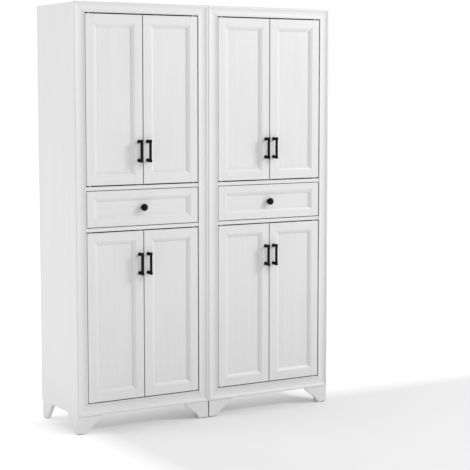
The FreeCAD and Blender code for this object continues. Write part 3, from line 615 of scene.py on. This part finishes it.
# painted light: the side panels get a lighter copy of the white lacquer
PAINT_SIDE_WITH_PAINTED_LIGHT = lacquer("white_lacquer_side_painted_light", ALONG_Z, light=SIDE_PAINTED_LIGHT, relief=SIDE_RELIEF)
PAINT_DECK = lacquer("white_lacquer_deck", ALONG_X, light=DECK_LIGHT, dull=DECK_DULLNESS)
PAINT_PANEL = lacquer("white_lacquer_panel", ALONG_Z, relief=PANEL_RELIEF)
PAINT_DRAWER_PANEL = lacquer("white_lacquer_drawer_panel", ALONG_X, relief=PANEL_RELIEF)
BACK_BOARD = board("white_fibreboard", BOARD_LIGHT)
TRACK_COAT = moulded("white_epoxy_coat", 0.60, 0.66, 0.30, 0.42)
BLACK_METAL = powder_coat()
ZINC = zinc()
WOOD_DEEP = hardwood("sealed_hardwood_deep", ALONG_Y)
WOOD_LEVEL = hardwood("sealed_hardwood_level", ALONG_X)
GLIDE_PLASTIC = moulded("black_glide_plastic", 0.02, 0.035, 0.45, 0.6)
CATCH_PLASTIC = moulded("white_catch_plastic", 0.72, 0.78, 0.35, 0.5)


def dress(material, *nodes):
    for node in nodes:
        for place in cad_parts[node].material_slots:
            place.material = material


def dress_cad():
    """A finish for every CAD piece that is shown as it is."""
    for tower in TOWERS:
        dress(PAINT_SIDE_WITH_PAINTED_LIGHT, tower + "_sides")
        dress(PAINT_DECK, tower + "_decks")
        dress(PAINT_LEVEL, tower + "_shelves", tower + "_face_frame")
        dress(BACK_BOARD, tower + "_back_panel")
        for door in DOORS:
            name = tower + "_" + door
            dress(PAINT_UPRIGHT, name + "_frame")
            dress(PAINT_PANEL, name + "_panel")
            dress(BLACK_METAL, name + "_pull")
            dress(ZINC, name + "_fittings")
        drawer = tower + "_drawer"
        dress(PAINT_LEVEL, drawer + "_front_frame")
        dress(PAINT_DRAWER_PANEL, drawer + "_front_panel")
        dress(BLACK_METAL, drawer + "_knob")
        dress(WOOD_DEEP, drawer + "_box")
        dress(ZINC, drawer + "_fittings")
    dress(PAINT_LEVEL, "front_feet")
    dress(GLIDE_PLASTIC, "floor_glides")
    dress(ZINC, "pivot_bushes", "shelf_pins", "joining_bolts")
    dress(TRACK_COAT, "drawer_tracks")
    dress(WOOD_DEEP, "track_spacers")
    dress(CATCH_PLASTIC, "door_catches")


dress_cad()

# ------------------------------------------------------------ the new pieces


def near(a, b):
    return abs(a - b) < NEAR


def finished(piece, body, slot, *nodes):
    """Smooths a piece, hangs it on the body it rides on and hides the CAD pieces it stands for;
    slot is not used.
    """
    smooth(piece)
    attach(piece, body)
    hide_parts(*nodes)
    return piece


def paint(piece, material):
    piece.data.materials.clear()
    piece.data.materials.append(material)
    return piece


def hollow_lines(start, inward, lines):
    """Slices the open mesh along each line of a moulding and sinks the front there.
    Each line is (distance from the outer edge, depth)."""
    for across, depth in lines:
        slice_at(start + inward * across, inward)
    for across, depth in lines:
        pick("VERT", lambda v: near((v.co - start).dot(inward), across)
             and near(v.co.y, start.y))
        move(Y * depth)


def round_front(is_outer_edge, width):
    """Rounds those edges of the open mesh whose two ends both pass the test."""
    pick("EDGE", lambda edge: is_outer_edge(*[v.co for v in edge.verts]))
    bpy.ops.mesh.bevel(offset=width, segments=ROUND_STEPS, affect="EDGES")


# ---- face frame


def tower_lines(tower):
    """Where the face frame's opening and rails are, from the fronts and their gaps."""
    low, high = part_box(tower + "_face_frame")
    upper_low, upper_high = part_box(tower + "_upper_left_door_frame")
    lower_low, lower_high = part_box(tower + "_lower_left_door_frame")
    drawer_low, drawer_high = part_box(tower + "_drawer_front_frame")
    margin = upper_low.x - GAP - low.x
    rails = [(lower_high.z + DOOR_END_GAP, drawer_low.z - DRAWER_GAP),
             (drawer_high.z + DRAWER_GAP, upper_low.z - DOOR_END_GAP)]
    return (low, high, low + Vector((margin, 0, lower_low.z - DOOR_FOOT_GAP - low.z)),
            high + Vector((-margin, 0, upper_high.z + DOOR_END_GAP - high.z)), rails)


def cove_lines(width, stile_width):
    """Lines along a coved member; all scale with its width, so mitres meet."""
    scale = width / stile_width
    inner = stile_width - COVE_TO_INSIDE
    poles = [(COVE_FROM_EDGE, 0.0), (COVE_FROM_EDGE + COVE_PULL, COVE_DEPTH),
             (inner - COVE_PULL, COVE_DEPTH), (inner, INNER_LIP_DROP)]
    lines = curve_points(poles, COVE_STEPS) + [(stile_width, INNER_LIP_DROP)]
    return [(across * scale, depth) for across, depth in lines]


def coved_member(name, outer, inner, stile_width, material, rooms):
    """One member of the face frame.  outer and inner are the pairs of corners that
    its outer and its inner edge run between, on the front plane."""
    start, end = outer
    along = (end - start).normalized()
    across = inner[0] - start
    across = across - along * across.dot(along)
    inward = across.normalized()
    width = across.length
    piece = block(name, start, end + across + Y * FACE_FRAME_DEPTH)
    for room in rooms:
        carve(piece, *room)
    open_mesh(piece)
    hollow_lines(start, inward, cove_lines(width, stile_width))
    round_front(lambda *ends: all(near(p.y, start.y) and near((p - start).dot(inward), 0)
                                  for p in ends), FACE_FRAME_ROUND)
    for corner, inside, way in ((start, inner[0], -along), (end, inner[1], along)):
        normal = (inside - corner).cross(Y).normalized()
        slice_at(corner, normal if normal.dot(way) > 0 else -normal, clear=True)
    close_mesh()
    ease(piece)
    return paint(piece, material)


def face_frame(tower):
    low, high, inner_low, inner_high, rails = tower_lines(tower)

    def at(x, z):
        return Vector((x, low.y, z))
    lip_back = low.y + LIP_DEPTH
    back = low.y + FACE_FRAME_DEPTH + BEYOND
    rooms = [(Vector((low.x - BEYOND, lip_back, low.z - BEYOND)),
              Vector((low.x + SIDE_ROOM, back, high.z + BEYOND))),
             (Vector((high.x - SIDE_ROOM, lip_back, low.z - BEYOND)),
              Vector((high.x + BEYOND, back, high.z + BEYOND))),
             (Vector((low.x - BEYOND, lip_back, high.z - TOP_ROOM)),
              Vector((high.x + BEYOND, back, high.z + BEYOND)))]
    width = inner_low.x - low.x
    outer = [at(low.x, low.z), at(low.x, high.z), at(high.x, high.z), at(high.x, low.z)]
    inner = [at(inner_low.x, inner_low.z), at(inner_low.x, inner_high.z),
             at(inner_high.x, inner_high.z), at(inner_high.x, inner_low.z)]
    members = []
    for n in range(4):
        m = (n + 1) % 4
        finish = PAINT_LEVEL if n % 2 else PAINT_UPRIGHT
        members.append(coved_member("member", (outer[n], outer[m]), (inner[n], inner[m]),
                                    width, finish, rooms))
    for rail_low, rail_high in rails:
        rail = block("rail", Vector((inner_low.x, low.y + FACE_FRAME_PROUD, rail_low)),
                     Vector((inner_high.x, low.y + FACE_FRAME_DEPTH, rail_high)))
        ease(rail, 2 * EASE)
        members.append(paint(rail, PAINT_LEVEL))
    return join(members, tower + "_coved_face_frame")


# ---- doors and drawer fronts


def slope_lines(flat):
    poles = [(QUIRK_WIDTH, QUIRK_DEPTH)]
    poles += [(MOULDING * x, MOULDING_DEPTH * y) for x, y in (MOULDING_ROUND_PULL,
                                                             MOULDING_FOOT_PULL, (1, 1))]
    return [(flat + across, depth) for across, depth in curve_points(poles, SLOPE_STEPS)]


def moulded_member(start, along, length, inward, flat, inset, depth, material, rooms):
    """Stile or rail: a flat board whose inner edge grows into a mitred, sloping
    moulding.  start is its outer front corner, and inset is how far the moulding
    stays from its ends."""
    piece = block("member", start, start + along * length + inward * flat + Y * depth)
    for room in rooms:
        carve(piece, *room)
    open_mesh(piece)

    def place(point):
        return (point - start).dot(along), (point - start).dot(inward)
    if inset:
        slice_at(start + along * inset, along)
        slice_at(start + along * (length - inset), along)
    pick("FACE", lambda face: face.normal.dot(inward) > 0.9
         and near(place(face.calc_center_median())[0], length / 2)
         and near(place(face.calc_center_median())[1], flat))
    bpy.ops.mesh.extrude_region_move(TRANSFORM_OT_translate={"value": inward * MOULDING})
    for end, step in ((inset, along * MOULDING), (length - inset, -along * MOULDING)):
        pick("VERT", lambda v: near(place(v.co)[0], end)
             and near(place(v.co)[1], flat + MOULDING))
        move(step)
    hollow_lines(start, inward, slope_lines(flat))

    def outer_edge(*ends):
        if not all(near(p.y, start.y) for p in ends):
            return False
        runs = [[near(place(p)[1], 0) for p in ends]]
        if inset:
            runs += [[near(place(p)[0], far) for p in ends] for far in (0, length)]
        return any(all(run) for run in runs)
    round_front(outer_edge, FRONT_ROUND)
    close_mesh()
    ease(piece)
    return paint(piece, material)


def framed_front(name, low, high, stile, rail, rooms=()):
    """Two stiles and two rails, joined into one piece."""
    depth = high.y - low.y
    height = high.z - low.z
    width = high.x - low.x - 2 * stile
    members = [
        moulded_member(Vector((low.x, low.y, low.z)), Z, height, X, stile, rail, depth,
                       PAINT_UPRIGHT, rooms),
        moulded_member(Vector((high.x, low.y, low.z)), Z, height, -X, stile, rail, depth,
                       PAINT_UPRIGHT, rooms),
        moulded_member(Vector((low.x + stile, low.y, low.z)), X, width, Z, rail, 0, depth,
                       PAINT_LEVEL, rooms),
        moulded_member(Vector((low.x + stile, low.y, high.z)), X, width, -Z, rail, 0, depth,
                       PAINT_LEVEL, rooms),
    ]
    return join(members, name)


def leaf_rooms(low, high):
    """Pockets for the pivot leaves in the ends of a door that hinges on its left."""
    near_x = low.x + LEAF_FROM_EDGE
    near_y = low.y + LEAF_FROM_FACE
    return [(Vector((near_x, near_y, z - LEAF_THICKNESS)),
             Vector((near_x + LEAF_LENGTH, near_y + LEAF_WIDTH, z + LEAF_THICKNESS)))
            for z in (low.z, high.z)]


def hang_doors():
    """The left tower's two left doors are made; the other six are their copies."""
    middle = (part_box("left_tower_face_frame")[0].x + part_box("left_tower_face_frame")[1].x) / 2
    for level in ("upper", "lower"):
        node = "left_tower_" + level + "_left_door_frame"
        low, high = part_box(node)
        first = framed_front("left_tower_" + level + "_left_door_joinery", low, high,
                             DOOR_STILE, DOOR_RAIL, leaf_rooms(low, high))
        flipped = duplicate(first, "left_tower_" + level + "_right_door_joinery")
        mirror_across(flipped, middle)
        doors = [first, flipped]
        for door, side in ((first, "left"), (flipped, "right")):
            name = "right_tower_" + level + "_" + side + "_door"
            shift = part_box(name + "_frame")[0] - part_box(name.replace("right", "left", 1)
                                                        + "_frame")[0]
            doors.append(duplicate(door, name + "_joinery", shift))
        for door in doors:
            body = door.name.replace("_joinery", "")
            finished(door, body, "white_lacquer", body + "_frame")


def front_drawers():
    low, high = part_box("left_tower_drawer_front_frame")
    first = framed_front("left_tower_drawer_joinery", low, high, DRAWER_STILE, DRAWER_RAIL)
    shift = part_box("right_tower_drawer_front_frame")[0] - low
    second = duplicate(first, "right_tower_drawer_joinery", shift)
    for piece, tower in ((first, "left_tower"), (second, "right_tower")):
        finished(piece, tower + "_drawer", "white_lacquer", tower + "_drawer_front_frame")


def set_face_frames():
    first = face_frame("left_tower")
    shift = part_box("right_tower_face_frame")[0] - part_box("left_tower_face_frame")[0]
    second = duplicate(first, "right_tower_coved_face_frame", shift)
    for piece, tower in ((first, "left_tower"), (second, "right_tower")):
        finished(piece, "cabinet", "white_lacquer", tower + "_face_frame")


# ---- pulls and knobs


def eased_step(count):
    """Shares from 0 to 1 that start and end gently."""
    return [0.5 - 0.5 * math.cos(math.pi * n / count) for n in range(count + 1)]


def quarter(count):
    """(sine, 1 - cosine) of even steps through a right angle."""
    return [(math.sin(math.pi / 2 * n / count), 1 - math.cos(math.pi / 2 * n / count))
            for n in range(count + 1)]


def bar_stations(half):
    """Half of the bar, from its end to its middle, then its mirror image."""
    inner = PULL_END_RADIUS - PULL_END_ROUND
    stations = [(-half + PULL_END_ROUND * drop, inner + PULL_END_ROUND * rise)
                for rise, drop in quarter(4)]
    shoulder = -half + PULL_END_LENGTH
    stations += [(shoulder + PULL_TAPER * n / TAPER_STEPS,
                  PULL_END_RADIUS + (PULL_BAR_RADIUS - PULL_END_RADIUS) * share)
                 for n, share in enumerate(eased_step(TAPER_STEPS))]
    return stations + [(-place, radius) for place, radius in reversed(stations)]


def post_stations(reach):
    stations = [(0.0, PULL_BASE_RADIUS - EASE), (EASE, PULL_BASE_RADIUS),
                (PULL_BASE_HEIGHT / 2, PULL_BASE_RADIUS)]
    drop = 1.5 * PULL_BASE_HEIGHT
    stations += [(PULL_BASE_HEIGHT / 2 + drop * rise,
                  PULL_BASE_RADIUS - (PULL_BASE_RADIUS - PULL_POST_RADIUS) * (1 - fall))
                 for rise, fall in [(1 - c, 1 - s) for s, c in quarter(6)]][1:]
    return stations + [(reach, PULL_POST_RADIUS)]


def bar_pull(node):
    """A bar with flared ends on two turned posts, where the CAD pull is."""
    low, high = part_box(node)
    centre = (low + high) / 2
    door_face = high.y
    bar_y = low.y + PULL_END_RADIUS
    pieces = [turned("bar", (centre.x, bar_y, centre.z), Z,
                     bar_stations((high.z - low.z) / 2))]
    for z in (centre.z - PULL_SPACING / 2, centre.z + PULL_SPACING / 2):
        pieces.append(turned("post", (centre.x, door_face, z), -Y,
                             post_stations(door_face - bar_y)))
    return paint(join(pieces, node.replace("_pull", "_bar_pull")), BLACK_METAL)


KNOB_STATIONS = [  # (out from the panel, radius)
    (0.0, 0.0081), (0.0004, 0.0085), (0.0020, 0.0085), (0.0028, 0.0080), (0.0036, 0.0070),
    (0.0050, 0.0060), (0.0080, 0.0055), (0.0100, 0.0060), (0.0113, 0.0078), (0.0120, 0.0106),
    (0.0131, 0.0132), (0.0147, 0.0146), (0.0166, 0.0148), (0.0186, 0.0146), (0.0206, 0.0138),
    (0.0221, 0.0126), (0.0228, 0.0116), (0.0229, 0.0108), (0.0226, 0.0101), (0.0222, 0.0097),
    (0.0226, 0.0091), (0.0236, 0.0078), (0.0246, 0.0058), (0.0252, 0.0036), (0.0255, 0.0012),
]


def knob(node):
    low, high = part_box(node)
    centre = ((low.x + high.x) / 2, high.y, (low.z + high.z) / 2)
    return paint(turned(node.replace("_knob", "_ring_knob"), centre, -Y, KNOB_STATIONS,
                        KNOB_SEGMENTS), BLACK_METAL)


def fit_hardware():
    nodes = [tower + "_" + door + "_pull" for tower in TOWERS for door in DOORS]
    first = bar_pull(nodes[0])
    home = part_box(nodes[0])[0]
    for node in nodes:
        body = node.replace("_pull", "")
        piece = first
        if node != nodes[0]:
            piece = duplicate(first, body + "_bar_pull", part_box(node)[0] - home)
        finished(piece, body, "black_metal", node)
    first = knob("left_tower_drawer_knob")
    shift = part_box("right_tower_drawer_knob")[0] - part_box("left_tower_drawer_knob")[0]
    second = duplicate(first, "right_tower_drawer_ring_knob", shift)
    for piece, tower in ((first, "left_tower"), (second, "right_tower")):
        finished(piece, tower + "_drawer", "black_metal", tower + "_drawer_knob")


# ---- front feet


def ogee_lines(rise):
    """(height above the toe, how far the edge has swept in) up the foot's ogee."""
    sweep = FOOT_TOP - FOOT_TOE
    lines = []
    for start, pull, end in (((0, 0), OGEE_LOWER_PULL, OGEE_WAIST),
                             (OGEE_WAIST, OGEE_UPPER_PULL, (1, 1))):
        for n in range(1, OGEE_STEPS + 1):
            t = n / OGEE_STEPS
            shares = ((1 - t) ** 2, 2 * t * (1 - t), t * t)
            out, up = [sum(s * p[axis] for s, p in zip(shares, (start, pull, end)))
                       for axis in (0, 1)]
            lines.append((up * rise, out * sweep))
    return lines


def front_foot(left, front, low, high, floor_top):
    """Left bracket foot with its ogee edge, and the block glued behind its corner."""
    start = Vector((left + FOOT_INSET, front, low))
    back = front + FACE_FRAME_DEPTH - FACE_FRAME_PROUD
    bracket = block("foot", start, Vector((left + FOOT_TOE, back, high)))
    carve(bracket, Vector((left, front + LIP_DEPTH - FACE_FRAME_PROUD, low - BEYOND)),
          Vector((left + SIDE_ROOM, back + BEYOND, high + BEYOND)))
    open_mesh(bracket)
    edge = left + FOOT_TOE
    lines = ogee_lines(high - low)
    for up, out in lines:
        slice_at(Vector((0, 0, low + up)), Z)
    for up, out in lines:
        pick("VERT", lambda v: near(v.co.x, edge) and near(v.co.z, low + up))
        move(X * out)
    close_mesh()
    ease(bracket, 2 * EASE)
    paint(bracket, PAINT_LEVEL)
    corner = block("corner", Vector((left + SIDE_ROOM, back, low)),
                   Vector((left + SIDE_ROOM + FOOT_BLOCK, back + FOOT_BLOCK, floor_top)))
    open_mesh(corner)
    pick("EDGE", lambda e: all(near(v.co.x, left + SIDE_ROOM + FOOT_BLOCK)
                               and near(v.co.y, back + FOOT_BLOCK) for v in e.verts))
    bpy.ops.mesh.bevel(offset=FOOT_BLOCK_CHAMFER, segments=1, affect="EDGES")
    close_mesh()
    ease(corner)
    return join([bracket, paint(corner, PAINT_UPRIGHT)], "foot")


def stand_on_feet():
    low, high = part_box("front_feet")
    frames = [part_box(tower + "_face_frame") for tower in TOWERS]
    first_frame = frames[0]
    left = front_foot(first_frame[0].x, low.y, low.z, first_frame[0].z, high.z)
    right = duplicate(left, "foot")
    mirror_across(right, (first_frame[0].x + first_frame[1].x) / 2)
    shift = frames[1][0] - first_frame[0]
    feet = [left, right, duplicate(left, "foot", shift), duplicate(right, "foot", shift)]
    finished(join(feet, "ogee_front_feet"), "cabinet", "white_lacquer", "front_feet")


# ---- drawer boxes


def drawer_box(tower):
    """Four walls with rounded top edges, and a bottom board let into them."""
    low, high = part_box(tower + "_drawer_box")
    inner_low = low + Vector((BOX_WALL, BOX_WALL, BOX_BOTTOM_UP))
    inner_high = high - Vector((BOX_WALL, BOX_WALL, 0))
    walls = [
        (low, Vector((inner_low.x, high.y, high.z)), WOOD_DEEP),
        (Vector((inner_high.x, low.y, low.z)), high, WOOD_DEEP),
        (Vector((inner_low.x, low.y, low.z)),
         Vector((inner_high.x, inner_low.y, high.z)), WOOD_LEVEL),
        (Vector((inner_low.x, inner_high.y, low.z)),
         Vector((inner_high.x, high.y, high.z)), WOOD_LEVEL),
    ]
    pieces = []
    for corner_a, corner_b, wood in walls:
        wall = block("wall", corner_a, corner_b)
        open_mesh(wall)
        long_axis = 0 if corner_b.x - corner_a.x > BOX_WALL + NEAR else 1
        pick("EDGE", lambda e: all(near(v.co.z, high.z) for v in e.verts)
             and abs(e.verts[0].co[long_axis] - e.verts[1].co[long_axis]) > BOX_WALL + NEAR)
        bpy.ops.mesh.bevel(offset=BOX_ROUND, segments=ROUND_STEPS, affect="EDGES")
        close_mesh()
        ease(wall, EASE / 2)
        pieces.append(paint(wall, wood))
    bottom = block("bottom", inner_low - Vector((EASE, EASE, 0)),
                   Vector((inner_high.x + EASE, inner_high.y + EASE, inner_low.z + BOX_BOTTOM)))
    ease(bottom, EASE / 2)
    pieces.append(paint(bottom, WOOD_LEVEL))
    return join(pieces, tower + "_drawer_timber_box")


def make_drawer_boxes():
    first = drawer_box("left_tower")
    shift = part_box("right_tower_drawer_box")[0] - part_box("left_tower_drawer_box")[0]
    second = duplicate(first, "right_tower_drawer_timber_box", shift)
    for piece, tower in ((first, "left_tower"), (second, "right_tower")):
        finished(piece, tower + "_drawer", "drawer_wood", tower + "_drawer_box")


set_face_frames()
hang_doors()
front_drawers()
fit_hardware()
stand_on_feet()
make_drawer_boxes()

# ----------------------------------------------------------------- the studio

CAMERA_PLACE = (-2.8624, -5.1837, 1.3738)
CAMERA_TURN = math.radians(-30.819)
CAMERA_DIP = math.radians(5.339)
LENS = 106.45
LENS_SHIFT = -0.030
SENSOR_WIDTH = 36.0
SIGHT_END = 100.0
FLOOR_SIZE = 40.0
ROOM_LIGHT = 0.70
KEY_PLACE = (3.9, -3.4, 3.6)
KEY_TARGET = (0.0, 0.0, 0.9)
KEY_SIZE = 1.5
KEY_POWER = 168.0
FILL_PLACE = (-4.2, 1.6, 2.2)
FILL_TARGET = (-0.3, 0.0, 0.9)
FILL_SIZE = 2.0
FILL_POWER = 45.0


def stand_camera():
    data = bpy.data.cameras.new("camera")
    data.lens = LENS
    data.sensor_width = SENSOR_WIDTH
    data.shift_y = LENS_SHIFT
    data.clip_end = SIGHT_END
    camera = bpy.data.objects.new("camera", data)
    camera.location = CAMERA_PLACE
    camera.rotation_euler = (math.radians(90) - CAMERA_DIP, 0, CAMERA_TURN)
    bpy.context.scene.collection.objects.link(camera)
    bpy.context.scene.camera = camera


def lay_floor():
    bpy.ops.object.select_all(action="DESELECT")
    bpy.ops.mesh.primitive_plane_add(size=FLOOR_SIZE)
    floor = bpy.context.object
    floor.name = "studio_floor"
    floor.data.materials.append(floor_paint())


def soft_light(name, place, target, size, power):
    data = bpy.data.lights.new(name, "AREA")
    data.shape = "SQUARE"
    data.size = size
    data.energy = power
    light = bpy.data.objects.new(name, data)
    light.location = place
    look = Vector(target) - Vector(place)
    light.rotation_euler = look.to_track_quat("-Z", "Y").to_euler()
    bpy.context.scene.collection.objects.link(light)


def light_studio():
    """An even white room with a soft key from the right and a weaker light on the left."""
    world = bpy.data.worlds.new("white_room")
    bpy.context.scene.world = world
    world.use_nodes = True
    tree = world.node_tree
    tree.nodes.clear()
    seen = add(tree, "ShaderNodeBackground", in_Strength=1.0)
    seen.inputs["Color"].default_value = (1, 1, 1, 1)
    lit = add(tree, "ShaderNodeBackground", in_Strength=ROOM_LIGHT)
    lit.inputs["Color"].default_value = (1, 1, 1, 1)
    path = add(tree, "ShaderNodeLightPath")
    mix = add(tree, "ShaderNodeMixShader")
    result = add(tree, "ShaderNodeOutputWorld")
    tree.links.new(path.outputs["Is Camera Ray"], mix.inputs[0])
    tree.links.new(lit.outputs[0], mix.inputs[1])
    tree.links.new(seen.outputs[0], mix.inputs[2])
    tree.links.new(mix.outputs[0], result.inputs[0])
    soft_light("key", KEY_PLACE, KEY_TARGET, KEY_SIZE, KEY_POWER)
    soft_light("fill", FILL_PLACE, FILL_TARGET, FILL_SIZE, FILL_POWER)
    bpy.context.scene.view_settings.view_transform = "Standard"


stand_camera()
lay_floor()
light_studio()


def corners(box):
    return [[round(number, 5) for number in corner] for corner in box]
